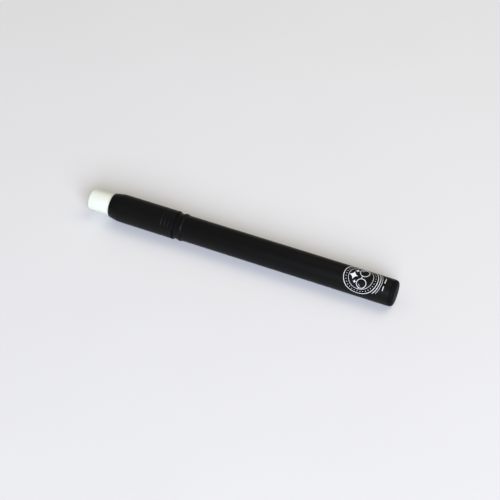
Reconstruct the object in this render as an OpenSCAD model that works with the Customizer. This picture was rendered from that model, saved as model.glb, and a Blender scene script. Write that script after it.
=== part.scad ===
// Pocket spray pen for cleaning spectacle lenses, lying on its side.
// The axis runs along X: the spray button is at the -X end, the end plug at the +X end.
// Z = 0 is the surface that the pen lies on, and X = 0 is half-way along it.
// Along the axis, places are distances s from the button's end face.

/* [Overall] */
// Length from the button's end face to the end plug's face
total_l = 139.3; // [125:0.1:170]
// Outer diameter of the barrel
barrel_d = 11.3; // [11.2:0.1:14]
// Thickness of the barrel's wall
barrel_wall = 0.6; // [0.4:0.05:0.7]

/* [Front sleeve] */
// Length of the sleeve that covers the spray head
sleeve_l = 30.7; // [29:0.1:40]
// Thickness of the sleeve's wall at its rim
sleeve_wall = 0.6; // [0.4:0.05:0.8]
// Thickness of the sleeve's edge at its mouth, round the button
mouth_edge = 0.4; // [0.2:0.05:0.6]
// Length of the taper behind the mouth
taper_l = 4.4; // [3:0.1:6]
// Radius of the soft bend between the taper and the sleeve's body
taper_bend = 10; // [5:1:15]
// Step from the sleeve's body out to its rim
rim_flare = 0.04; // [0:0.01:0.1]
// Width of the flared rim
rim_w = 1.1; // [0.6:0.1:1.4]
// Number of grip grooves next to the rim
groove_count = 3; // [0:1:4]
// Distance from the rim to the first groove's middle, and from groove to groove
groove_pitch = 1.65; // [1.2:0.05:2]
// Width of a grip groove
groove_w = 0.8; // [0.4:0.1:1]
// Depth of a grip groove
groove_depth = 0.17; // [0.05:0.01:0.2]

/* [Barrel trim] */
// Step from the barrel down to its spigot, which carries the ring and enters the sleeve
spigot_step = 0.17; // [0.16:0.01:0.3]
// Length of bare barrel between the sleeve's rim and the ring
neck_gap = 2.5; // [1:0.1:4]
// Width of the ring on the barrel
ring_w = 1.7; // [1.2:0.1:4]
// Height of the ring above the barrel
ring_h = 0.4; // [0.1:0.05:0.5]
// Thickness of the end plug's flange
plug_flange_t = 2.1; // [1.5:0.1:3]
// Step from the barrel down to the end plug's flange
plug_step = 0.075; // [0:0.025:0.3]
// Length of the end plug's boss inside the barrel
plug_boss_l = 5; // [3:0.5:8]
// Radius of the rounded edge of the end plug
plug_edge = 1.3; // [0.2:0.1:1.6]

/* [Spray button] */
// How far the button stands out of the sleeve
button_out = 10.4; // [9:0.1:12]
// Wall thickness of the button's skirt
button_wall = 0.9; // [0.6:0.05:1]
// Radius of the rounded edge of the button's end
button_edge = 0.8; // [0.4:0.1:1.3]
// Travel of the button
press_l = 3.5; // [2:0.1:4]
// Diameter of the nozzle insert
insert_d = 2.8; // [2:0.1:3]

/* [Pump] */
// Outer diameter of the stem
stem_d = 2.4; // [2:0.1:2.6]
// Bore of the stem
stem_bore = 1; // [0.6:0.1:1.2]
// Bore of the pump's cylinder
pump_bore = 4.5; // [4.2:0.1:4.6]
// Wall thickness of the pump's cylinder
pump_wall = 0.45; // [0.35:0.05:0.5]
// Wall thickness of the stem guide
guide_wall = 0.75; // [0.6:0.05:0.9]
// Wall thickness of the closure's tower, round the stem guide
tower_wall = 0.6; // [0.5:0.05:0.7]
// Length of the return spring at rest
spring_l = 11; // [9:0.5:14]
// Diameter of the spring's wire
wire_d = 0.45; // [0.3:0.05:0.5]
// Diameter of the inlet ball
ball_d = 2; // [1.6:0.1:2.2]
// How far the inlet ball lifts off its seat
ball_lift = 0.5; // [0.3:0.1:0.8]
// Outer diameter of the dip tube
tube_d = 2; // [1.6:0.1:2.2]
// Bore of the dip tube
tube_bore = 1.2; // [0.8:0.1:1.3]

/* [Vial] */
// Thickness of the vial's wall
vial_wall = 0.8; // [0.5:0.05:1]
// Length of the vial's threaded neck
neck_l = 9; // [8:0.5:10]
// Wall thickness of the vial's neck at the thread's root
neck_wall = 0.8; // [0.6:0.05:1]
// Height of the thread
thread_h = 0.5; // [0.3:0.05:0.5]
// Pitch of the thread
thread_pitch = 1.5; // [1.4:0.1:2]
// Number of thread turns on the neck and in the closure
thread_turns = 2.5; // [1.5:0.5:3]
// Thickness of the foam cushion behind the vial
cushion_t = 2.5; // [1:0.5:4]

/* [Fits] */
// Radial gap of a piece that turns or slides in a close bore
run_gap = 0.05; // [0.02:0.01:0.08]
// Radial gap between loosely nested pieces
slip_gap = 0.1; // [0.06:0.01:0.15]
// Radial gap round the button in the sleeve's mouth
mouth_gap = 0.15; // [0.1:0.01:0.2]
// Radial gap between turning pieces that never touch
free_gap = 0.2; // [0.15:0.01:0.3]

/* [Hidden] */
$fn = 96;
eps = 0.01;

// radii shared by pieces that fit each other
barrel_r = barrel_d / 2;
barrel_in = barrel_r - barrel_wall;
spigot_r = barrel_r - spigot_step;
sleeve_in = spigot_r + slip_gap;
sleeve_r = sleeve_in + sleeve_wall;
guide_r = pump_bore / 2 + guide_wall;
tower_in = guide_r + run_gap;
tower_r = tower_in + tower_wall;
button_in = tower_r + free_gap;
button_r = button_in + button_wall;
mouth_in = button_r + mouth_gap;
mouth_r = mouth_in + mouth_edge;
housing_r = pump_bore / 2 + pump_wall;
neck_in = housing_r + free_gap;
neck_r = neck_in + neck_wall;
thread_r = neck_r + thread_h;
closure_in = thread_r + slip_gap;
flange_r = closure_in - free_gap;
vial_r = barrel_in - slip_gap;
bush_in = thread_r + slip_gap;

// places along the axis
mouth_s = button_out;
rim_s = mouth_s + sleeve_l;
ring_s = rim_s + neck_gap;
ring_end_s = ring_s + ring_w;
plug_s = total_l - plug_flange_t;
boss_s = plug_s - plug_boss_l;
vial_end_s = boss_s - cushion_t;
deck_t = 1;
deck_s = mouth_s + 8.4;
guide_flange_s = deck_s + deck_t;
guide_flange_t = 0.6;
flange_s = guide_flange_s + guide_flange_t;
flange_t = 0.8;
gasket_s = flange_s + flange_t;
gasket_t = 0.6;
neck_s = gasket_s + gasket_t;
bush_s = neck_s + neck_l;
bush_flange_t = 0.6;
barrel_s = bush_s + bush_flange_t;
bush_l = 1.5;
shoulder_s = barrel_s + bush_l;
shoulder_t = 1;
closure_end_s = bush_s - 0.6;

// the button and its stem
button_end_s = deck_s - press_l - 0.5;
button_top_t = 1.4;
post_r = stem_d / 2 + 1;
guide_s = guide_flange_s - 3.5;
guide_top_t = 1.5;
post_end_s = guide_s - press_l - 0.5;
stem_s = 5;
socket_s = stem_s - 0.2;
tower_s = button_end_s - 2.5;
nozzle_s = 3.6;
nozzle_channel_d = 1;
socket_channel_d = 0.8;
insert_t = 1.7;
insert_recess = 0.3;
boss_r = insert_d / 2 + 0.9;
dish_r = 3;
dish_depth = 0.35;

// the pump below the stem's shoulder
seal_t = 0.6;
seal_s = guide_s + guide_top_t;
stem_shoulder_s = seal_s + seal_t;
stem_shoulder_t = 0.8;
piston_s = stem_shoulder_s + stem_shoulder_t + 3;
piston_l = 4;
piston_r = pump_bore / 2 - run_gap;
spring_s = piston_s + piston_l;
ledge_s = spring_s + spring_l;
ball_bore_r = ball_d / 2 + 0.25;
seat_r = 0.6;
seat_l = ball_bore_r - seat_r;
seat_gap = 0.02;
seat_s = ledge_s + ball_d + ball_lift + 0.6;
tube_s = seat_s + seat_l + 0.8;
socket_l = 5;
housing_end_s = tube_s + socket_l;
nipple_r = tube_d / 2 + 0.8;
ball_s = seat_s + seat_l + seat_r - (ball_d / 2 + seat_gap) * sqrt(2);
tube_clear = 1.5;
vial_floor_t = 1;
tube_end_s = vial_end_s - vial_floor_t - tube_clear;

// the thread's ridge
thread_steps = 24;
thread_root_w = 0.75;
thread_crest_w = 0.35;
thread_bed = 0.15;
neck_thread_s = neck_s + 1.3;
closure_thread_s = neck_thread_s + thread_pitch / 2;

// the spring's coils
spring_turns = 9;
spring_end_turns = 1;
spring_steps = 20;
spring_sides = 8;
spring_r = pump_bore / 2 - wire_d / 2 - 0.3;

// the seal ring on the end plug
plug_seal_d = 1;
plug_seal_r = barrel_in - plug_seal_d / 2;
plug_seal_s = boss_s + plug_boss_l / 2;
plug_groove_w = plug_seal_d + 0.2;

// Stands a piece that is drawn along +Z, from s = 0, on the pen's axis
module on_axis() {
    translate([-total_l / 2, 0, sleeve_r]) rotate([0, 90, 0]) children();
}

// A round bar from s0 to s1
module bar(r, s0, s1) {
    translate([0, 0, s0]) cylinder(r = r, h = s1 - s0);
}

// A tube from s0 to s1
module tube(r_out, r_in, s0, s1) {
    difference() {
        bar(r_out, s0, s1);
        bar(r_in, s0 - eps, s1 + eps);
    }
}

// Points of an arc, from angle a0 to a1, as [radius, s]
function arc(r, s, size, a0, a1, n = 8) = [
    for (i = [0 : n]) let (a = a0 + (a1 - a0) * i / n) [r + size * cos(a), s + size * sin(a)]];

// A solid through rings of points, closed at both ends; each ring runs counter-clockwise in [radius, s]
module skin(rings) {
    n = len(rings[0]);
    last = len(rings) - 1;
    sides = [
        for (i = [0 : last - 1], j = [0 : n - 1])
            let (a = i * n + j, b = i * n + (j + 1) % n)
                each [[a, b, b + n], [a, b + n, a + n]]];
    polyhedron(
        points = [for (ring = rings) each ring],
        faces = concat(
            [[for (j = [n - 1 : -1 : 0]) j]],
            sides,
            [[for (j = [0 : n - 1]) last * n + j]]));
}

// A ring of [radius, s] points turned to angle a
function turned(points, a) = [for (p = points) [p[0] * cos(a), p[0] * sin(a), p[1]]];

// A right-hand thread ridge from r_in to r_out that fades into r_root at both of its ends
module thread_ridge(r_in, r_out, r_root, w_in, w_out) {
    steps = thread_turns * thread_steps;
    fade = thread_steps / 6;
    rings = [
        for (i = [0 : steps])
            let (
                full = min(1, (min(i, steps - i) + 0.5) / fade),
                a = r_root + (r_in - r_root) * full,
                b = r_root + (r_out - r_root) * full,
                z = thread_pitch * i / thread_steps)
                turned([[a, z - w_in / 2], [b, z - w_out / 2], [b, z + w_out / 2], [a, z + w_in / 2]],
                    360 * i / thread_steps)];
    skin(rings);
}

// White push button with a skirt, a stem post and a side nozzle
module actuator() {
    flat_r = dish_r / 3;
    body = concat(
        [[0, dish_depth], [flat_r, dish_depth], [dish_r * 2 / 3, dish_depth * 0.6], [dish_r, 0]],
        arc(button_r - button_edge, button_edge, button_edge, -90, 0),
        [[button_r, button_end_s], [button_in, button_end_s], [button_in, button_top_t],
            [post_r, button_top_t], [post_r, post_end_s], [0, post_end_s]]);
    color("mintcream") on_axis() difference() {
        union() {
            rotate_extrude() polygon(body);
            intersection() {
                bar(button_r - button_wall / 2, button_top_t - eps, button_end_s);
                translate([0, 0, nozzle_s]) rotate([-90, 0, 0]) cylinder(r = boss_r, h = button_r);
            }
        }
        bar(stem_d / 2 + run_gap / 2, socket_s, post_end_s + eps);
        bar(socket_channel_d / 2, nozzle_s, socket_s + eps);
        translate([0, 0, nozzle_s]) rotate([-90, 0, 0]) {
            translate([0, 0, -nozzle_channel_d]) cylinder(d = nozzle_channel_d, h = button_r);
            translate([0, 0, button_r - insert_t - insert_recess]) cylinder(d = insert_d, h = button_r);
        }
    }
}

// Pressed-in nozzle plug with its spray hole
module nozzle_insert() {
    hole_d = 0.35;
    color("white") on_axis() translate([0, 0, nozzle_s]) rotate([-90, 0, 0])
        translate([0, 0, button_r - insert_t - insert_recess]) difference() {
            cylinder(d = insert_d, h = insert_t);
            translate([0, 0, -eps]) cylinder(d = insert_d - 1.2, h = insert_t - 0.6);
            translate([0, 0, -eps]) cylinder(d = hole_d, h = insert_t + 1);
            translate([0, 0, insert_t - 0.3]) cylinder(d1 = hole_d, d2 = 1.1, h = 0.3 + eps);
        }
}

// Hollow stem that carries the button and drives the piston
module pump_stem() {
    shoulder_r = stem_d / 2 + 0.6;
    color("ghostwhite") on_axis() difference() {
        union() {
            bar(stem_d / 2, stem_s, piston_s + piston_l - 0.8);
            bar(shoulder_r, stem_shoulder_s, stem_shoulder_s + stem_shoulder_t);
        }
        bar(stem_bore / 2, stem_s - eps, piston_s);
        translate([0, 0, piston_s - 1]) rotate([90, 0, 0])
            cylinder(d = stem_bore * 0.8, h = stem_d * 2, center = true);
    }
}

// Soft piston with a lip at each end, fixed on the stem's foot
module pump_piston() {
    lip = 0.7;
    waist_r = piston_r - 0.4;
    color("gainsboro") on_axis() difference() {
        rotate_extrude() polygon([
            [0, piston_s], [piston_r, piston_s], [piston_r, piston_s + lip],
            [waist_r, piston_s + lip + 0.4], [waist_r, spring_s - lip - 0.4],
            [piston_r, spring_s - lip], [piston_r, spring_s], [0, spring_s]]);
        bar(stem_d / 2, piston_s - eps, spring_s - 0.8);
    }
}

// Guide that keeps the stem straight and holds it in the pump
module stem_guide() {
    color("ghostwhite") on_axis() difference() {
        union() {
            bar(guide_r, guide_s, guide_flange_s);
            bar(flange_r, guide_flange_s, flange_s);
        }
        bar(stem_d / 2 + run_gap, guide_s - eps, seal_s + eps);
        bar(pump_bore / 2, seal_s, flange_s + eps);
    }
}

// Washer that the stem's shoulder seals against at rest
module stem_seal() {
    color("dimgray") on_axis() tube(pump_bore / 2, stem_d / 2 + run_gap, seal_s, stem_shoulder_s);
}

// Coil spring that lifts the piston back
module return_spring() {
    turns = spring_turns;
    steps = turns * spring_steps;
    end_rise = wire_d * 1.02;
    first = spring_s + wire_d / 2;
    run = spring_l - wire_d - 2 * spring_end_turns * end_rise;
    mid = turns - 2 * spring_end_turns;
    function height(t) =
        t < spring_end_turns ? t * end_rise
        : t > turns - spring_end_turns ? spring_l - wire_d - (turns - t) * end_rise
        : spring_end_turns * end_rise + run * (t - spring_end_turns) / mid;
    color("silver") on_axis() skin([
        for (i = [0 : steps])
            turned(
                [for (j = [0 : spring_sides - 1]) let (a = 360 * j / spring_sides)
                    [spring_r + wire_d / 2 * cos(a), first + height(i / spring_steps) + wire_d / 2 * sin(a)]],
                360 * i / spring_steps)]);
}

// Ball that closes the pump's inlet
module inlet_ball() {
    color("lightgray") on_axis() translate([0, 0, ball_s]) sphere(d = ball_d);
}

// Pump cylinder with its flange, ball seat and dip tube socket
module pump_housing() {
    seat_end_s = seat_s + seat_l;
    color("whitesmoke") on_axis() difference() {
        union() {
            bar(flange_r, flange_s, gasket_s);
            bar(housing_r, flange_s, seat_end_s);
            bar(nipple_r, seat_end_s - eps, housing_end_s);
        }
        bar(pump_bore / 2, flange_s - eps, ledge_s);
        bar(ball_bore_r, ledge_s - eps, seat_s);
        translate([0, 0, seat_s]) cylinder(r1 = ball_bore_r, r2 = seat_r, h = seat_l);
        bar(seat_r, seat_end_s - eps, tube_s + eps);
        bar(tube_d / 2, tube_s, housing_end_s + eps);
    }
}

// Washer between the pump's flange and the vial's lip
module neck_gasket() {
    color("lightsteelblue") on_axis() tube(flange_r, housing_r, gasket_s, neck_s);
}

// Tube that reaches down to the vial's floor, with a slanted foot
module dip_tube() {
    color("aliceblue") on_axis() difference() {
        tube(tube_d / 2, tube_bore / 2, tube_s, tube_end_s);
        translate([0, 0, tube_end_s]) rotate([0, 45, 0]) translate([-tube_d * 2, -tube_d, 0])
            cube([tube_d * 4, tube_d * 2, tube_d * 2]);
    }
}

// Threaded cap inside the sleeve, with a tower round the stem guide
module closure() {
    ridge_bed = closure_in + thread_bed;
    color("black") on_axis() {
        difference() {
            union() {
                bar(sleeve_in, deck_s, closure_end_s);
                bar(tower_r, tower_s, deck_s + eps);
            }
            bar(tower_in, tower_s - eps, guide_flange_s + eps);
            bar(closure_in, guide_flange_s, closure_end_s + eps);
        }
        translate([0, 0, closure_thread_s])
            thread_ridge(neck_r + thread_bed, ridge_bed, ridge_bed, thread_crest_w, thread_root_w);
    }
}

// Thin black sleeve with a taper, grip grooves and a flared rim
module front_sleeve() {
    body_r = sleeve_r - rim_flare;
    taper_s = mouth_s + taper_l;
    taper_a = atan((body_r - mouth_r) / taper_l);
    bend_s = taper_s + taper_bend * tan(taper_a / 2);
    edge_r = mouth_edge / 2;
    half = groove_w / 2;
    grooves = [
        for (i = [groove_count : -1 : 1])
            let (s = rim_s - i * groove_pitch)
                each [[body_r, s - half], [body_r - groove_depth, s - half / 2],
                    [body_r - groove_depth, s + half / 2], [body_r, s + half]]];
    rim = [[body_r, rim_s - rim_w + 0.2], [sleeve_r, rim_s - rim_w + 0.4], [sleeve_r, rim_s - 0.15],
        [sleeve_r - 0.15, rim_s], [sleeve_in, rim_s]];
    color("black") on_axis() rotate_extrude() polygon(concat(
        [[mouth_in, mouth_s]],
        arc(mouth_r - edge_r, mouth_s + edge_r, edge_r, -90, -taper_a),
        arc(body_r - taper_bend, bend_s, taper_bend, -taper_a, 0),
        grooves,
        rim,
        [[sleeve_in, taper_s], [mouth_in, mouth_s + 2 * mouth_edge]]));
}

// Bottle for the cleaning fluid, with a threaded neck
module vial() {
    inside_r = vial_r - vial_wall;
    root = neck_r - thread_bed;
    color("azure") on_axis() {
        difference() {
            union() {
                bar(neck_r, neck_s, shoulder_s + eps);
                bar(vial_r, shoulder_s, vial_end_s);
            }
            bar(neck_in, neck_s - eps, shoulder_s + shoulder_t + eps);
            bar(inside_r, shoulder_s + shoulder_t, vial_end_s - vial_floor_t);
        }
        translate([0, 0, neck_thread_s])
            thread_ridge(root, thread_r, root, thread_root_w, thread_crest_w);
    }
}

// Flanged bush that holds the vial's shoulder in the barrel's mouth
module vial_bush() {
    color("darkgray") on_axis() difference() {
        union() {
            bar(sleeve_in - free_gap, bush_s, barrel_s);
            bar(barrel_in, barrel_s, shoulder_s);
        }
        bar(bush_in, bush_s - eps, shoulder_s + eps);
    }
}

// Foam pad that keeps the vial from rattling
module vial_cushion() {
    color("slategray") on_axis() bar(vial_r, vial_end_s, boss_s);
}

// Outer tube of the pen, with a spigot at its mouth
module barrel() {
    color("black") on_axis() {
        tube(spigot_r, barrel_in, barrel_s, ring_end_s + eps);
        tube(barrel_r, barrel_in, ring_end_s, plug_s);
    }
}

// Rounded ring on the spigot, against the barrel's shoulder
module neck_ring() {
    front_h = ring_h + spigot_step;
    front_w = ring_w / 2;
    n = 8;
    color("black") on_axis() rotate_extrude() polygon(concat(
        [for (i = [0 : n]) let (a = 90 * i / n)
            [spigot_r + front_h * sin(a), ring_s + front_w * (1 - cos(a))]],
        [for (i = [1 : n]) let (a = 90 * i / n)
            [barrel_r + ring_h * cos(a), ring_s + front_w * (1 + sin(a))]],
        [[spigot_r, ring_end_s]]));
}

// Plug that closes the barrel's end
module end_plug() {
    flange = barrel_r - plug_step;
    boss = barrel_in - slip_gap;
    groove_r = plug_seal_r - plug_seal_d / 2;
    g0 = plug_seal_s - plug_groove_w / 2;
    g1 = plug_seal_s + plug_groove_w / 2;
    color("black") on_axis() rotate_extrude() polygon(concat(
        [[0, boss_s], [boss - 0.4, boss_s], [boss, boss_s + 0.4],
            [boss, g0], [groove_r, g0], [groove_r, g1], [boss, g1],
            [boss, plug_s], [flange, plug_s]],
        arc(flange - plug_edge, total_l - plug_edge, plug_edge, 0, 90),
        [[0, total_l]]));
}

// Rubber ring that grips the plug in the barrel
module plug_seal() {
    color("dimgray") on_axis() translate([0, 0, plug_seal_s])
        rotate_extrude() translate([plug_seal_r, 0]) circle(d = plug_seal_d);
}

actuator();
nozzle_insert();
pump_stem();
pump_piston();
stem_guide();
stem_seal();
return_spring();
inlet_ball();
pump_housing();
neck_gasket();
dip_tube();
closure();
front_sleeve();
vial();
vial_bush();
vial_cushion();
barrel();
neck_ring();
end_plug();
plug_seal();
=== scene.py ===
import math
import bmesh
import bpy
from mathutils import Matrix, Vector


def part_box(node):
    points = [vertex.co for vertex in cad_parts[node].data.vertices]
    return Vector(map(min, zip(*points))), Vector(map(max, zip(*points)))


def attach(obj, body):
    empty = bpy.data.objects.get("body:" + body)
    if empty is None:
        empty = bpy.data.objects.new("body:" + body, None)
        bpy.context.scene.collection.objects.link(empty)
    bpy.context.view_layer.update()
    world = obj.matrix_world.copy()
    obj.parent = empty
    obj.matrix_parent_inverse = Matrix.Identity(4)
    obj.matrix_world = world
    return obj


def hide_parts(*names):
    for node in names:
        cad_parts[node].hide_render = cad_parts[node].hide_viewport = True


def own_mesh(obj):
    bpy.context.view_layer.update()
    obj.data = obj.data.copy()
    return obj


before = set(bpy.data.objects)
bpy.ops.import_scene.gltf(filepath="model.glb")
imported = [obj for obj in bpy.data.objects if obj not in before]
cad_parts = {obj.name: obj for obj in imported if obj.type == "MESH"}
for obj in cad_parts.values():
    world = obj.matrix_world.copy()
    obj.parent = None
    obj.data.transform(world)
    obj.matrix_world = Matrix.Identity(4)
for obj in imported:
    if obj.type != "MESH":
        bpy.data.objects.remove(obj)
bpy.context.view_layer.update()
mm = 0.001
sharpAngle = math.radians(32)


def nodeSpan(node):
    low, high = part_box(node)
    return low.x, high.x


def nodeRadii(node, x, reach=0.02 * mm):
    # smallest and largest distance from the pen's axis, over the node's points at this place along it
    found = [math.hypot(v.co.y, v.co.z - axisZ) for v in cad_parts[node].data.vertices
             if abs(v.co.x - x) <= reach]
    return min(found), max(found)


def nodeOuter(node):
    # half of the node's height, for nodes that are round about the pen's axis
    low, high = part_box(node)
    return (high.z - low.z) / 2


sleeveLow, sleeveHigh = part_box("front_sleeve")
axisZ = (sleeveLow.z + sleeveHigh.z) / 2
print("frame read, axis height", round(axisZ / mm, 3), "mm")


class Wire:
    # a node's output; arithmetic on it adds Math nodes to the same material
    def __init__(self, paint, socket):
        self.paint = paint
        self.socket = socket

    def calc(self, operation, first, second):
        return self.paint.node("ShaderNodeMath", {"operation": operation}, {0: first, 1: second})

    def __add__(self, other):
        return self.calc("ADD", self, other)

    def __radd__(self, other):
        return self.calc("ADD", other, self)

    def __sub__(self, other):
        return self.calc("SUBTRACT", self, other)

    def __rsub__(self, other):
        return self.calc("SUBTRACT", other, self)

    def __mul__(self, other):
        return self.calc("MULTIPLY", self, other)

    def __rmul__(self, other):
        return self.calc("MULTIPLY", other, self)

    def clamped(self, low, high):
        # 0 below low, 1 above high, smooth between
        return self.paint.node(
            "ShaderNodeMapRange", {"interpolation_type": "SMOOTHSTEP"},
            {"Value": self, "From Min": low, "From Max": high})


class Paint:
    # one material under construction
    def __init__(self, name, **fixed):
        self.material = bpy.data.materials.new(name)
        self.material.use_nodes = True
        self.nodes = self.material.node_tree.nodes
        self.links = self.material.node_tree.links
        self.shader = self.nodes["Principled BSDF"]
        for socket, value in fixed.items():
            self.shader.inputs[socket.replace("_", " ")].default_value = value
        self.place = Wire(self, self.nodes.new("ShaderNodeTexCoord").outputs["Object"])

    def connect(self, value, socket):
        if isinstance(value, Wire):
            self.links.new(value.socket, socket)
        else:
            socket.default_value = value

    def node(self, kind, settings, inputs, output=0):
        made = self.nodes.new(kind)
        for key, value in settings.items():
            setattr(made, key, value)
        for key, value in inputs.items():
            self.connect(value, made.inputs[key])
        return Wire(self, made.outputs[output])

    def noise(self, size, detail=2.0, roughness=0.5, stretch=(1, 1, 1)):
        # noise whose blotches are about size metres across
        spot = self.node("ShaderNodeVectorMath", {"operation": "MULTIPLY"}, {0: self.place, 1: stretch})
        return self.node("ShaderNodeTexNoise", {}, {
            "Vector": spot, "Scale": 1 / size, "Detail": detail, "Roughness": roughness})

    def mix(self, factor, first, second):
        return self.node("ShaderNodeMix", {"data_type": "RGBA"}, {"Factor": factor, 6: first, 7: second}, 2)

    def bump(self, height, distance):
        return self.node("ShaderNodeBump", {}, {"Height": height, "Distance": distance})

    def finish(self, **varying):
        for socket, value in varying.items():
            self.connect(value, self.shader.inputs[socket.replace("_", " ")])
        return self.material


def grey(level, tint=(1, 1, 1)):
    return (level * tint[0], level * tint[1], level * tint[2], 1)


def softTouchCoat():
    look = {"base": 0.0025, "worn": 0.005, "rough": 0.46, "grain": 0.11 * mm, "grainDepth": 0.004 * mm,
            "cloud": 9 * mm, "rub": 1.6 * mm, "rubAlong": 0.35}
    coat = Paint("soft touch coat", Specular_IOR_Level=0.13)
    grain = coat.noise(look["grain"], 3, 0.6)
    cloud = coat.noise(look["cloud"], 3, 0.55)
    rub = coat.noise(look["rub"], 4, 0.6, (look["rubAlong"], 1, 1)).clamped(0.5, 0.78)
    colour = coat.mix(rub * 0.35, grey(look["base"], (1, 0.99, 0.94)), grey(look["worn"]))
    rough = look["rough"] + (cloud - 0.5) * 0.16 - rub * 0.07 + (grain - 0.5) * 0.08
    return coat.finish(
        Base_Color=colour, Roughness=rough,
        Normal=coat.bump(grain + cloud * 0.6, look["grainDepth"]))


def buttonPlastic():
    look = {"base": grey(0.79, (0.965, 1, 0.86)), "shade": grey(0.74, (0.96, 1, 0.85)),
            "flow": 3.5 * mm, "skin": 0.22 * mm, "skinDepth": 0.003 * mm}
    plastic = Paint("white button plastic", Specular_IOR_Level=0.45, Subsurface_Weight=0.12,
                    Subsurface_Radius=(1, 1, 0.9), Subsurface_Scale=0.6 * mm)
    flow = plastic.noise(look["flow"], 3, 0.5, (0.5, 1, 1))
    skin = plastic.noise(look["skin"], 2, 0.5)
    return plastic.finish(
        Base_Color=plastic.mix(flow.clamped(0.4, 0.7) * 0.6, look["base"], look["shade"]),
        Roughness=0.36 + (flow - 0.5) * 0.14 + (skin - 0.5) * 0.08,
        Normal=plastic.bump(skin, look["skinDepth"]))


def mouldedBlack(name, base, rough, specular):
    look = {"spark": 0.16 * mm, "sparkDepth": 0.008 * mm, "flow": 4 * mm}
    plastic = Paint(name, Specular_IOR_Level=specular)
    spark = plastic.noise(look["spark"], 2, 0.7)
    flow = plastic.noise(look["flow"], 3, 0.5)
    return plastic.finish(
        Base_Color=plastic.mix(flow, grey(base * 0.8), grey(base * 1.25)),
        Roughness=rough + (spark - 0.5) * 0.2 + (flow - 0.5) * 0.08,
        Normal=plastic.bump(spark, look["sparkDepth"]))


def naturalPlastic(name, colour, rough, depth):
    look = {"flow": 2.5 * mm, "skin": 0.3 * mm, "scatter": 0.8 * mm}
    plastic = Paint(name, Specular_IOR_Level=0.45, Subsurface_Weight=0.2, Subsurface_Scale=look["scatter"])
    flow = plastic.noise(look["flow"], 3, 0.5, (0.4, 1, 1))
    skin = plastic.noise(look["skin"], 2, 0.5)
    milky = [channel * 0.86 for channel in colour[:3]] + [1]
    return plastic.finish(
        Base_Color=plastic.mix(flow.clamped(0.35, 0.7), colour, milky),
        Roughness=rough + (skin - 0.5) * 0.12,
        Normal=plastic.bump(skin, depth))


def clearPlastic():
    look = {"wave": 5 * mm, "waveDepth": 0.03 * mm}
    plastic = Paint("clear vial plastic", Transmission_Weight=0.9, IOR=1.49)
    wave = plastic.noise(look["wave"], 2, 0.5, (0.25, 1, 1))
    return plastic.finish(
        Base_Color=plastic.mix(wave, (0.93, 0.97, 0.96, 1), (0.86, 0.93, 0.92, 1)),
        Roughness=0.07 + wave * 0.1,
        Normal=plastic.bump(wave, look["waveDepth"]))


def springSteel():
    look = {"drawn": 0.12 * mm, "drawnDepth": 0.004 * mm}
    steel = Paint("spring steel", Metallic=1.0)
    drawn = steel.noise(look["drawn"], 3, 0.6)
    return steel.finish(
        Base_Color=steel.mix(drawn, grey(0.52), grey(0.68)),
        Roughness=0.2 + drawn * 0.25,
        Normal=steel.bump(drawn, look["drawnDepth"]))


def sealRubber():
    look = {"dust": 0.5 * mm, "dustDepth": 0.01 * mm}
    rubber = Paint("seal rubber", Specular_IOR_Level=0.3)
    dust = rubber.noise(look["dust"], 4, 0.7)
    return rubber.finish(
        Base_Color=rubber.mix(dust.clamped(0.5, 0.75), grey(0.018), grey(0.05)),
        Roughness=0.62 + dust * 0.2,
        Normal=rubber.bump(dust, look["dustDepth"]))


def cushionFoam():
    look = {"cell": 0.35 * mm, "cellDepth": 0.06 * mm}
    foam = Paint("cushion foam", Specular_IOR_Level=0.15)
    cells = foam.node("ShaderNodeTexVoronoi", {"feature": "DISTANCE_TO_EDGE"}, {
        "Vector": foam.place, "Scale": 1 / look["cell"]})
    # The cell pits, away from the walls, get the darker grey: painted shade in the foam's hollows. The same
    # mask sinks the pits in the bump and makes them a little less rough.
    pitShade = cells.clamped(0.02, 0.16)
    return foam.finish(
        Base_Color=foam.mix(pitShade, grey(0.16, (0.95, 0.97, 1)), grey(0.07, (0.95, 0.97, 1))),
        Roughness=0.95 - pitShade * 0.12,
        Normal=foam.bump(1 - pitShade, look["cellDepth"]))


def printInk():
    look = {"ink": grey(0.78, (0.99, 1, 1)), "thin": grey(0.42), "pinholes": 0.16 * mm,
            "pinholeDepth": 0.006 * mm, "cover": 1.4 * mm}
    ink = Paint("white print ink", Specular_IOR_Level=0.3)
    speck = ink.noise(look["pinholes"], 3, 0.65)
    cover = ink.noise(look["cover"], 3, 0.6)
    thinned = (speck * 0.6 + cover * 0.4).clamped(0.54, 0.66)
    return ink.finish(
        Base_Color=ink.mix(thinned * 0.8, look["ink"], look["thin"]),
        Roughness=0.46 + speck * 0.2,
        Normal=ink.bump(speck, look["pinholeDepth"]))


def paperSheet():
    look = {"base": grey(0.80, (1, 1, 0.995)), "fleck": grey(0.765, (1, 0.995, 0.98)),
            "tooth": 0.6 * mm, "toothDepth": 0.02 * mm, "cloud": 60 * mm}
    paper = Paint("pale paper", Specular_IOR_Level=0.1)
    tooth = paper.noise(look["tooth"], 4, 0.6)
    cloud = paper.noise(look["cloud"], 3, 0.5)
    return paper.finish(
        Base_Color=paper.mix(cloud * 0.7 + tooth.clamped(0.5, 0.8) * 0.3, look["base"], look["fleck"]),
        Roughness=0.85 + (tooth - 0.5) * 0.1,
        Normal=paper.bump(tooth, look["toothDepth"]))


coatBlack = softTouchCoat()
buttonWhite = buttonPlastic()
plugBlack = mouldedBlack("end plug plastic", 0.0038, 0.62, 0.06)
closureBlack = mouldedBlack("closure plastic", 0.016, 0.42, 0.4)
pumpNatural = naturalPlastic("pump polypropylene", grey(0.8, (0.98, 1, 0.99)), 0.34, 0.004 * mm)
softNatural = naturalPlastic("soft polyethylene", grey(0.72, (0.97, 0.99, 1)), 0.5, 0.008 * mm)
clearVial = clearPlastic()
steelWire = springSteel()
blackRubber = sealRubber()
greyFoam = cushionFoam()
whiteInk = printInk()
print("materials made:", len(bpy.data.materials))


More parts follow.
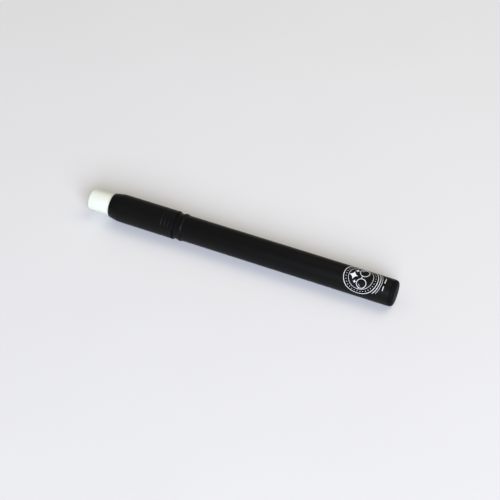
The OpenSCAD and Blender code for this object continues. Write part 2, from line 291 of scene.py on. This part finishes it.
def addPiece(name, mesh, material, body, nodes=()):
    mesh.normal_update()
    data = bpy.data.meshes.new(name)
    mesh.to_mesh(data)
    mesh.free()
    data.materials.append(material)
    for face in data.polygons:
        face.use_smooth = True
    data.set_sharp_from_angle(angle=sharpAngle)
    piece = bpy.data.objects.new(name, data)
    bpy.context.scene.collection.objects.link(piece)
    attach(piece, body)
    if nodes:
        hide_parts(*nodes)
    return piece


def rounded(corners, steps=6, closed=True):
    # corners are (along, radius, fillet); each fillet becomes an arc that touches both of its sides
    points = []
    count = len(corners)
    for i, (x, r, fillet) in enumerate(corners):
        here = Vector((x, r))
        if fillet == 0 or (not closed and i in (0, count - 1)):
            points.append(here)
            continue
        back = (Vector(corners[i - 1][:2]) - here).normalized()
        ahead = (Vector(corners[(i + 1) % count][:2]) - here).normalized()
        half = back.angle(ahead) / 2
        reach = fillet / math.tan(half)
        middle = here + (back + ahead).normalized() * (fillet / math.sin(half))
        start = here + back * reach - middle
        turn = start.angle_signed(here + ahead * reach - middle)
        for k in range(steps + 1):
            angle = -turn * k / steps
            points.append(middle + Vector((
                start.x * math.cos(angle) - start.y * math.sin(angle),
                start.x * math.sin(angle) + start.y * math.cos(angle))))
    return points


def revolve(outline, sides, closed=True, centre=None, direction="X"):
    # turns an outline of (along, radius) round the pen's axis, or round +Y through centre
    centre = centre or Vector((0, 0, axisZ))
    onAxis = 0.0001 * mm
    mesh = bmesh.new()
    rings = []
    for along, radius in outline:
        if radius < onAxis:
            turns = [0]
        else:
            turns = [2 * math.pi * k / sides for k in range(sides)]
        ring = []
        for a in turns:
            if direction == "X":
                spot = Vector((along, -radius * math.cos(a), radius * math.sin(a)))
            else:
                spot = Vector((radius * math.cos(a), along, -radius * math.sin(a)))
            ring.append(mesh.verts.new(centre + spot))
        rings.append(ring)
    pairs = list(zip(rings, rings[1:] + rings[:1])) if closed else list(zip(rings, rings[1:]))
    for first, second in pairs:
        for k in range(sides):
            corner = [first[k % len(first)], first[(k + 1) % len(first)],
                      second[(k + 1) % len(second)], second[k % len(second)]]
            unique = list(dict.fromkeys(corner))
            if len(unique) > 2:
                mesh.faces.new(unique)
    bmesh.ops.recalc_face_normals(mesh, faces=mesh.faces)
    return mesh


def makeSleeve():
    sleeve = {"mouthRound": 0.2 * mm, "innerRound": 0.08 * mm, "taper": 4.4 * mm, "bend": 10 * mm,
              "grooveStep": 1.65 * mm, "grooveEdge": 0.12 * mm, "grooveFloor": 0.1 * mm,
              "flare": 0.04 * mm, "flareStart": 0.2 * mm, "flareRun": 0.2 * mm, "flareRound": 0.1 * mm,
              "rimWidth": 1.1 * mm, "rimRound": 0.16 * mm, "innerLip": 0.8 * mm, "innerStep": 0.2 * mm,
              "innerBend": 0.5 * mm, "sides": 192}
    grooves = [(1.0 * mm, 0.11 * mm), (0.9 * mm, 0.08 * mm), (0.8 * mm, 0.06 * mm)]  # width, depth
    mouthX, rimX = nodeSpan("front_sleeve")
    mouthIn, flatOut = nodeRadii("front_sleeve", mouthX)
    mouthOut = flatOut + sleeve["mouthRound"]
    bore = nodeRadii("front_sleeve", rimX)[0]
    outer = nodeOuter("front_sleeve")
    body = outer - sleeve["flare"]
    taperX = mouthX + sleeve["taper"]
    corners = [(mouthX, mouthIn, sleeve["innerRound"]), (mouthX, mouthOut, sleeve["mouthRound"]),
               (taperX, body, sleeve["bend"])]
    for k, (width, depth) in enumerate(grooves):
        x = rimX - (len(grooves) - k) * sleeve["grooveStep"]
        corners += [(x - width / 2, body, sleeve["grooveEdge"]),
                    (x - width / 5, body - depth, sleeve["grooveFloor"]),
                    (x + width / 5, body - depth, sleeve["grooveFloor"]),
                    (x + width / 2, body, sleeve["grooveEdge"])]
    flareX = rimX - sleeve["rimWidth"] + sleeve["flareStart"]
    corners += [(flareX, body, sleeve["flareRound"]),
                (flareX + sleeve["flareRun"], outer, sleeve["flareRound"]),
                (rimX, outer, sleeve["rimRound"]), (rimX, bore, sleeve["innerRound"]),
                (taperX, bore, sleeve["innerBend"]),
                (mouthX + sleeve["innerLip"], mouthIn, sleeve["innerStep"])]
    addPiece("front_sleeve_shell", revolve(rounded(corners), sleeve["sides"]), coatBlack,
             "sleeve_cap", ["front_sleeve"])


def makeBarrel():
    barrel = {"mouthRound": 0.12 * mm, "shoulderRound": 0.05 * mm, "endRound": 0.1 * mm,
              "neckRise": 0.12 * mm, "neckStart": 0.2 * mm, "sides": 192}
    mouthX, endX = nodeSpan("barrel")
    ringX, shoulderX = nodeSpan("neck_ring")
    neckX = nodeSpan("front_sleeve")[1] + barrel["neckStart"]
    bore, spigot = nodeRadii("barrel", mouthX)
    neck = spigot + barrel["neckRise"]
    outer = nodeRadii("barrel", endX)[1]
    corners = [(mouthX, bore, barrel["shoulderRound"]), (mouthX, spigot, barrel["mouthRound"]),
               (neckX, spigot, 0), (neckX, neck, barrel["shoulderRound"]),
               (ringX, neck, 0), (ringX, spigot, 0),
               (shoulderX, spigot, 0), (shoulderX, outer, barrel["shoulderRound"]),
               (endX, outer, barrel["endRound"]), (endX, bore, barrel["shoulderRound"])]
    addPiece("barrel_tube", revolve(rounded(corners), barrel["sides"]), coatBlack,
             "pen_body", ["barrel"])


def makeRing():
    ring = {"frontShare": 0.34, "steps": 12, "sides": 192}
    frontX, backX = nodeSpan("neck_ring")
    crest = nodeOuter("neck_ring")
    bore = nodeRadii("barrel", nodeSpan("barrel")[0])[1]
    foot = nodeRadii("barrel", nodeSpan("barrel")[1])[1]
    frontRun = (backX - frontX) * ring["frontShare"]
    backRun = backX - frontX - frontRun
    quarter = [math.pi / 2 * k / ring["steps"] for k in range(ring["steps"] + 1)]
    outline = [(frontX + frontRun * (1 - math.cos(a)), bore + (crest - bore) * math.sin(a))
               for a in quarter]
    outline += [(frontX + frontRun + backRun * math.sin(a), foot + (crest - foot) * math.cos(a))
                for a in quarter[1:]]
    outline += [(backX, bore)]
    addPiece("neck_ring_band", revolve(outline, ring["sides"]), coatBlack,
             "pen_body", ["neck_ring"])


def makeEndPlug():
    plug = {"edge": 1.5 * mm, "seamRound": 0.08 * mm, "bossRound": 0.4 * mm, "gate": 0.7 * mm,
            "gateRim": 1.12 * mm, "gateDepth": 0.12 * mm, "gateEdge": 0.05 * mm, "gateFloor": 0.1 * mm,
            "sealWidth": 1.2 * mm, "sealDepth": 0.9 * mm, "sealEdge": 0.06 * mm, "sealFloor": 0.1 * mm,
            "sides": 192}
    bossX, endX = nodeSpan("end_plug")
    seamX = nodeSpan("barrel")[1]
    flange = nodeOuter("end_plug")
    boss = nodeRadii("end_plug", seamX)[0]
    sealX = sum(nodeSpan("plug_seal")) / 2
    groove = boss - plug["sealDepth"]
    half = plug["sealWidth"] / 2
    gateX = endX - plug["gateDepth"]
    corners = [(bossX, 0, 0), (bossX, boss, plug["bossRound"]),
               (sealX - half, boss, plug["sealEdge"]), (sealX - half, groove, plug["sealFloor"]),
               (sealX + half, groove, plug["sealFloor"]), (sealX + half, boss, plug["sealEdge"]),
               (seamX, boss, 0), (seamX, flange, plug["seamRound"]), (endX, flange, plug["edge"]),
               (endX, plug["gateRim"], plug["gateEdge"]), (gateX, plug["gate"], plug["gateFloor"]),
               (gateX, 0, 0)]
    addPiece("end_plug_cap", revolve(rounded(corners, 8, False), plug["sides"], False), plugBlack,
             "pen_body", ["end_plug"])


def makeButton():
    button = {"edge": 0.8 * mm, "dish": 3.0 * mm, "dishDepth": 0.35 * mm, "dishRound": 0.8 * mm,
              "dishSteps": 8, "line": 1.5 * mm, "lineDepth": 0.06 * mm, "lineWidth": 0.3 * mm,
              "lineEdge": 0.06 * mm, "lineFloor": 0.08 * mm, "top": 1.4 * mm, "skirt": 0.9 * mm,
              "skirtRound": 0.15 * mm, "innerRound": 0.4 * mm, "stemGap": 0.03 * mm,
              "postWall": 1.0 * mm, "postLength": 6.5 * mm, "postRound": 0.1 * mm,
              "socketDepth": 0.2 * mm, "sides": 192}
    endX, skirtX = nodeSpan("actuator")
    mouthX = nodeSpan("front_sleeve")[0]
    outer = nodeOuter("actuator")
    inner = outer - button["skirt"]
    stemX = nodeSpan("pump_stem")[0]
    stem = nodeRadii("pump_stem", stemX)[1]
    bore = stem + button["stemGap"]
    post = stem + button["postWall"]
    postX = stemX + button["postLength"]
    socketX = stemX - button["socketDepth"]
    lineX = mouthX - button["line"]
    half = button["lineWidth"] / 2
    topX = endX + button["top"]
    shares = [k / button["dishSteps"] for k in range(button["dishSteps"])]
    corners = [(endX + button["dishDepth"] * (1 - s ** 2), button["dish"] * s, 0) for s in shares]
    corners += [
        (endX, button["dish"], button["dishRound"]), (endX, outer, button["edge"]),
        (lineX - half, outer, button["lineEdge"]),
        (lineX, outer - button["lineDepth"], button["lineFloor"]),
        (lineX + half, outer, button["lineEdge"]),
        (skirtX, outer, button["skirtRound"]), (skirtX, inner, button["skirtRound"]),
        (topX, inner, button["innerRound"]), (topX, post, button["innerRound"]),
        (postX, post, button["postRound"]), (postX, bore, button["skirtRound"]),
        (socketX, bore, 0), (socketX, 0, 0)]
    mesh = revolve(rounded(corners, 8, False), button["sides"], False)
    piece = addPiece("spray_button", mesh, buttonWhite, "button", ["actuator"])
    carvePocket(piece, outer)


def carvePocket(piece, outer):
    # the round hole in the button's side that the nozzle sits in, with a chamfer at its mouth
    pocket = {"gap": 0.01 * mm, "chamferDepth": 0.12 * mm, "over": 1.0 * mm, "backRound": 0.05 * mm,
              "chamferRound": 0.1 * mm, "sides": 64}
    low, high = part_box("nozzle_insert")
    centre = Vector(((low.x + high.x) / 2, 0, axisZ))
    radius = (high.x - low.x) / 2 + pocket["gap"]
    corners = [(low.y, 0, 0), (low.y, radius, pocket["backRound"]),
               (outer - pocket["chamferDepth"], radius, pocket["chamferRound"]),
               (outer + pocket["over"], radius + pocket["over"], 0), (outer + pocket["over"], 0, 0)]
    cutter = bpy.data.meshes.new("pocket")
    tool = revolve(rounded(corners, 5, False), pocket["sides"], False, centre, "Y")
    tool.to_mesh(cutter)
    tool.free()
    knife = bpy.data.objects.new("pocket", cutter)
    bpy.context.scene.collection.objects.link(knife)
    boolean = piece.modifiers.new("pocket", "BOOLEAN")
    boolean.object = knife
    boolean.operation = "DIFFERENCE"
    boolean.solver = "EXACT"
    carved = bpy.data.meshes.new_from_object(piece.evaluated_get(bpy.context.evaluated_depsgraph_get()))
    piece.modifiers.clear()
    piece.data = carved
    carved.set_sharp_from_angle(angle=sharpAngle)
    bpy.data.objects.remove(knife)


def makeNozzle():
    nozzle = {"hole": 0.17 * mm, "holeDepth": 0.6 * mm, "holeEdge": 0.02 * mm, "cone": 0.6 * mm,
              "coneDepth": 0.35 * mm, "back": 0.8 * mm, "lipShare": 0.78, "lipDepth": 0.12 * mm,
              "lipSlope": 0.1 * mm, "rimRound": 0.12 * mm, "backRound": 0.05 * mm, "edge": 0.06 * mm,
              "sides": 72}
    low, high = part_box("nozzle_insert")
    centre = Vector(((low.x + high.x) / 2, 0, axisZ))
    outer = (high.x - low.x) / 2
    lip = outer * nozzle["lipShare"]
    floorY = high.y - nozzle["lipDepth"]
    holeY = high.y - nozzle["holeDepth"]
    corners = [(low.y, nozzle["back"], nozzle["backRound"]), (low.y, outer, nozzle["rimRound"]),
               (high.y, outer, nozzle["rimRound"]), (high.y, lip, nozzle["edge"]),
               (floorY, lip - nozzle["lipSlope"], nozzle["edge"]), (floorY, nozzle["cone"], nozzle["edge"]),
               (high.y - nozzle["coneDepth"], nozzle["hole"], nozzle["holeEdge"]),
               (holeY, nozzle["hole"], 0), (holeY, nozzle["back"], nozzle["backRound"])]
    mesh = revolve(rounded(corners), nozzle["sides"], True, centre, "Y")
    addPiece("nozzle_disc", mesh, buttonWhite, "button", ["nozzle_insert"])


def makeSpring():
    spring = {"wire": 0.45 * mm, "turns": 9, "steps": 32, "sides": 12, "travel": 3.5 * mm}
    startX, endX = nodeSpan("return_spring")
    middle = nodeOuter("return_spring") - spring["wire"] / 2
    length = endX - startX - spring["wire"]
    closed = spring["wire"] * 1.02
    mesh = bmesh.new()
    rings = []
    for i in range(spring["turns"] * spring["steps"] + 1):
        turn = i / spring["steps"]
        left = spring["turns"] - turn
        if turn < 1:
            rise = turn * closed
        elif left < 1:
            rise = length - left * closed
        else:
            rise = closed + (length - 2 * closed) * (turn - 1) / (spring["turns"] - 2)
        a = 2 * math.pi * turn
        ring = []
        for k in range(spring["sides"]):
            b = 2 * math.pi * k / spring["sides"]
            radius = middle + spring["wire"] / 2 * math.cos(b)
            ring.append(mesh.verts.new((
                startX + spring["wire"] / 2 * (1 + math.sin(b)) + rise,
                radius * math.sin(a), axisZ - radius * math.cos(a))))
        rings.append(ring)
    for first, second in zip(rings, rings[1:]):
        for k in range(spring["sides"]):
            n = (k + 1) % spring["sides"]
            mesh.faces.new([first[k], first[n], second[n], second[k]])
    mesh.faces.new(rings[0])
    mesh.faces.new(rings[-1])
    bmesh.ops.recalc_face_normals(mesh, faces=mesh.faces)
    piece = addPiece("return_spring_coil", mesh, steelWire, "pump_core", ["return_spring"])
    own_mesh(piece)


def makeCushion():
    cushion = {"edge": 0.7 * mm, "edgeIn": 0.2 * mm, "crown": 0.12 * mm, "crownShare": 0.85,
               "gap": 0.02 * mm, "rows": 8, "sides": 96}
    startX, endX = nodeSpan("vial_cushion")
    outer = nodeRadii("vial_cushion", startX)[1] - cushion["gap"]
    swell = [math.sin(math.pi / 2 * k / cushion["rows"]) for k in range(cushion["rows"] + 1)]
    face = [(cushion["crown"] * s ** 3, outer * s * cushion["crownShare"]) for s in swell]
    corners = [(startX + depth, radius, 0) for depth, radius in face]
    corners += [(startX + cushion["edgeIn"], outer, cushion["edge"]),
                (endX - cushion["edgeIn"], outer, cushion["edge"])]
    corners += [(endX - depth, radius, 0) for depth, radius in reversed(face)]
    mesh = revolve(rounded(corners, 6, False), cushion["sides"], False)
    piece = addPiece("vial_cushion_pad", mesh, greyFoam, "pen_body", ["vial_cushion"])


def makePrint():
    mark = {"up": 74, "middle": 14.9 * mm, "outer": 7.1 * mm, "stroke": 0.24 * mm, "fine": 0.14 * mm,
            "dots": 32, "dot": 0.15 * mm, "dotRing": 1.0 * mm, "innerRing": 2.0 * mm,
            "thick": 0.02 * mm, "sink": 0.015 * mm}
    glasses = {"along": -0.9 * mm, "across": 2.55 * mm, "lens": 1.95 * mm, "glint": 1.2 * mm,
               "armAlong": -0.2 * mm, "armAcross": 4.85 * mm, "arm": 0.75 * mm,
               "bridgeAlong": -1.1 * mm, "bridge": 0.75 * mm}
    # places from the emblem's middle, along and across, and the size
    sparkles = [(3.1 * mm, 0, 1.9 * mm), (2.2 * mm, 2.6 * mm, 0.95 * mm), (2.0 * mm, -2.5 * mm, 0.75 * mm)]
    # distance outside the outer ring, width, half of the angle, steps
    arcs = [(0.95 * mm, mark["stroke"], 40, 40), (1.75 * mm, mark["fine"], 32, 36)]
    dashes = {"along": 5.0 * mm, "width": mark["stroke"] * 1.3,
              "places": [(1.7 * mm, 2.6 * mm), (-1.9 * mm, 1.9 * mm)]}  # across, length
    endX = nodeSpan("end_plug")[1]
    barrelRadius = nodeRadii("barrel", nodeSpan("barrel")[1])[1]
    mesh = bmesh.new()

    def wrap(along, across, lift):
        # along runs from the pen's end towards the button, across runs round the barrel
        a = math.radians(mark["up"]) + across / barrelRadius
        r = barrelRadius + lift
        return Vector((endX - along, -r * math.cos(a), axisZ + r * math.sin(a)))

    def inkStrip(left, right, loop):
        # a raised strip between two rows of (along, across) points
        rows = []
        for a, b in zip(left, right):
            rows.append([mesh.verts.new(wrap(*a, -mark["sink"])), mesh.verts.new(wrap(*a, mark["thick"])),
                         mesh.verts.new(wrap(*b, mark["thick"])), mesh.verts.new(wrap(*b, -mark["sink"]))])
        pairs = list(zip(rows, rows[1:] + rows[:1])) if loop else list(zip(rows, rows[1:]))
        for first, second in pairs:
            for k in range(4):
                n = (k + 1) % 4
                mesh.faces.new([first[k], first[n], second[n], second[k]])
        if not loop:
            mesh.faces.new(rows[0])
            mesh.faces.new(rows[-1])

    def inkPatch(edge, centre, layers=5):
        # a filled patch with one outline, built of shrinking copies of it so that it follows the barrel
        def level(share, lift):
            return [mesh.verts.new(wrap(centre[0] + (p[0] - centre[0]) * share,
                                        centre[1] + (p[1] - centre[1]) * share, lift)) for p in edge]
        skirt = level(1, -mark["sink"])
        rings = [skirt] + [level(1 - k / layers, mark["thick"]) for k in range(layers)]
        for first, second in zip(rings, rings[1:]):
            for k in range(len(edge)):
                n = (k + 1) % len(edge)
                mesh.faces.new([first[k], first[n], second[n], second[k]])
        peak = mesh.verts.new(wrap(*centre, mark["thick"]))
        foot = mesh.verts.new(wrap(*centre, -mark["sink"]))
        for k in range(len(edge)):
            n = (k + 1) % len(edge)
            mesh.faces.new([rings[-1][k], rings[-1][n], peak])
            mesh.faces.new([skirt[n], skirt[k], foot])

    def arcStroke(centre, radius, width, start, end, steps):
        full = end - start >= 360
        count = steps if full else steps + 1
        angles = [math.radians(start + (end - start) * k / steps) for k in range(count)]
        sides = [[(centre[0] + r * math.cos(a), centre[1] + r * math.sin(a)) for a in angles]
                 for r in (radius - width / 2, radius + width / 2)]
        inkStrip(*sides, full)

    def dot(centre, radius):
        inkPatch([(centre[0] + radius * math.cos(2 * math.pi * k / 16),
                   centre[1] + radius * math.sin(2 * math.pi * k / 16)) for k in range(16)], centre, 2)

    def sparkle(centre, size, waist=0.16):
        # four points joined by curves that sag towards the middle
        tips = [(math.cos(k * math.pi / 2), math.sin(k * math.pi / 2)) for k in range(4)]
        edge = []
        for first, second in zip(tips, tips[1:] + tips[:1]):
            for k in range(10):
                t = k / 10
                sag = waist * 2 * t * (1 - t)
                edge.append([centre[n] + size * (
                    first[n] * (1 - t) ** 2 + second[n] * t ** 2 + sag * (first[n] + second[n]))
                    for n in (0, 1)])
        inkPatch(edge, centre)

    def bar(along, across, length, width):
        steps = 12
        spots = [across - length / 2 + length * k / steps for k in range(steps + 1)]
        inkStrip([(along - width / 2, s) for s in spots], [(along + width / 2, s) for s in spots], False)

    middle = mark["middle"]
    arcStroke((middle, 0), mark["outer"], mark["stroke"], 0, 360, 144)
    arcStroke((middle, 0), mark["outer"] - mark["innerRing"], mark["fine"], 0, 360, 120)
    for k in range(mark["dots"]):
        a = 2 * math.pi * k / mark["dots"]
        reach = mark["outer"] - mark["dotRing"]
        dot((middle + reach * math.cos(a), reach * math.sin(a)), mark["dot"])
    for side in (-1, 1):
        lens = (middle + glasses["along"], side * glasses["across"])
        glint = (20, 80) if side > 0 else (-80, -20)
        arcStroke(lens, glasses["lens"], mark["stroke"], 0, 360, 60)
        arcStroke(lens, glasses["glint"], mark["fine"], *glint, 12)
        bar(middle + glasses["armAlong"], side * glasses["armAcross"], glasses["arm"], mark["stroke"])
    arcStroke((middle + glasses["bridgeAlong"], 0), glasses["bridge"], mark["stroke"], -62, 62, 16)
    for along, across, size in sparkles:
        sparkle((middle + along, across), size)
    for beyond, width, spread, steps in arcs:
        arcStroke((middle, 0), mark["outer"] + beyond, width, 180 - spread, 180 + spread, steps)
    for across, length in dashes["places"]:
        bar(dashes["along"], across, length, dashes["width"])
    bmesh.ops.recalc_face_normals(mesh, faces=mesh.faces)
    addPiece("barrel_print", mesh, whiteInk, "pen_body")


def paintNodes():
    finishes = {"pump_stem": pumpNatural, "pump_piston": softNatural, "stem_guide": pumpNatural,
                "stem_seal": blackRubber, "inlet_ball": steelWire, "pump_housing": pumpNatural,
                "neck_gasket": softNatural, "dip_tube": clearVial, "closure": closureBlack,
                "vial": clearVial, "vial_bush": closureBlack, "plug_seal": blackRubber}
    for name, material in finishes.items():
        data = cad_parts[name].data
        data.materials.clear()
        data.materials.append(material)
    print("frame nodes painted:", len(finishes))


def makeCamera():
    view = {"azimuth": 23.2, "elevation": 47.3, "distance": 0.478, "lens": 80.7,
            "aim": (0.0035, 0.0043, 0.0)}
    a, e = math.radians(view["azimuth"]), math.radians(view["elevation"])
    back = Vector((math.sin(a) * math.cos(e), -math.cos(a) * math.cos(e), math.sin(e)))
    data = bpy.data.cameras.new("camera")
    data.lens = view["lens"]
    data.clip_start = 0.01
    camera = bpy.data.objects.new("camera", data)
    camera.location = Vector(view["aim"]) + back * view["distance"]
    camera.rotation_euler = back.to_track_quat("Z", "Y").to_euler()
    bpy.context.scene.collection.objects.link(camera)
    bpy.context.scene.camera = camera


def makeFloor():
    # the pen rests on its sleeve's rim and on the barrel's end, so the sheet is tipped to touch both
    floor = {"half": 3.0}
    rimX = nodeSpan("front_sleeve")[1]
    endX = nodeSpan("barrel")[1]
    gap = axisZ - nodeRadii("barrel", endX)[1]
    slope = gap / (endX - rimX)
    data = bpy.data.meshes.new("paper_floor")
    spots = [(-floor["half"], -floor["half"]), (floor["half"], -floor["half"]),
             (floor["half"], floor["half"]), (-floor["half"], floor["half"])]
    data.from_pydata([(x, y, (x - rimX) * slope) for x, y in spots], [], [(0, 1, 2, 3)])
    data.materials.append(paperSheet())
    piece = bpy.data.objects.new("paper_floor", data)
    bpy.context.scene.collection.objects.link(piece)


def addLight(name, place, size, power, colour):
    data = bpy.data.lights.new(name, "AREA")
    data.shape = "RECTANGLE"
    data.size, data.size_y = size
    data.energy = power
    data.color = colour
    light = bpy.data.objects.new(name, data)
    light.location = place
    light.rotation_euler = Vector(place).to_track_quat("Z", "Y").to_euler()
    bpy.context.scene.collection.objects.link(light)


def makeLight():
    room = bpy.data.worlds.new("room")
    room.use_nodes = True
    room.node_tree.nodes["Background"].inputs["Color"].default_value = (1, 1, 1, 1)
    room.node_tree.nodes["Background"].inputs["Strength"].default_value = 0.29
    bpy.context.scene.world = room
    addLight("cool_front", place=(0.95, -1.35, 0.95), size=(1.4, 1.0), power=51, colour=(0.79, 0.84, 1))
    addLight("warm_behind", place=(0.6, 0.65, 1.65), size=(1.5, 1.5), power=12, colour=(1, 0.88, 0.64))
    bpy.context.scene.view_settings.view_transform = "Standard"


makeCamera()
makeFloor()
makeLight()
print("camera, floor and light ready")
makeSleeve()
makeBarrel()
makeRing()
makeEndPlug()
print("sleeve, barrel, ring and plug made")
makeButton()
makeNozzle()
print("button and nozzle made")
makeSpring()
makeCushion()
makePrint()
paintNodes()
print("inner pieces and print made")
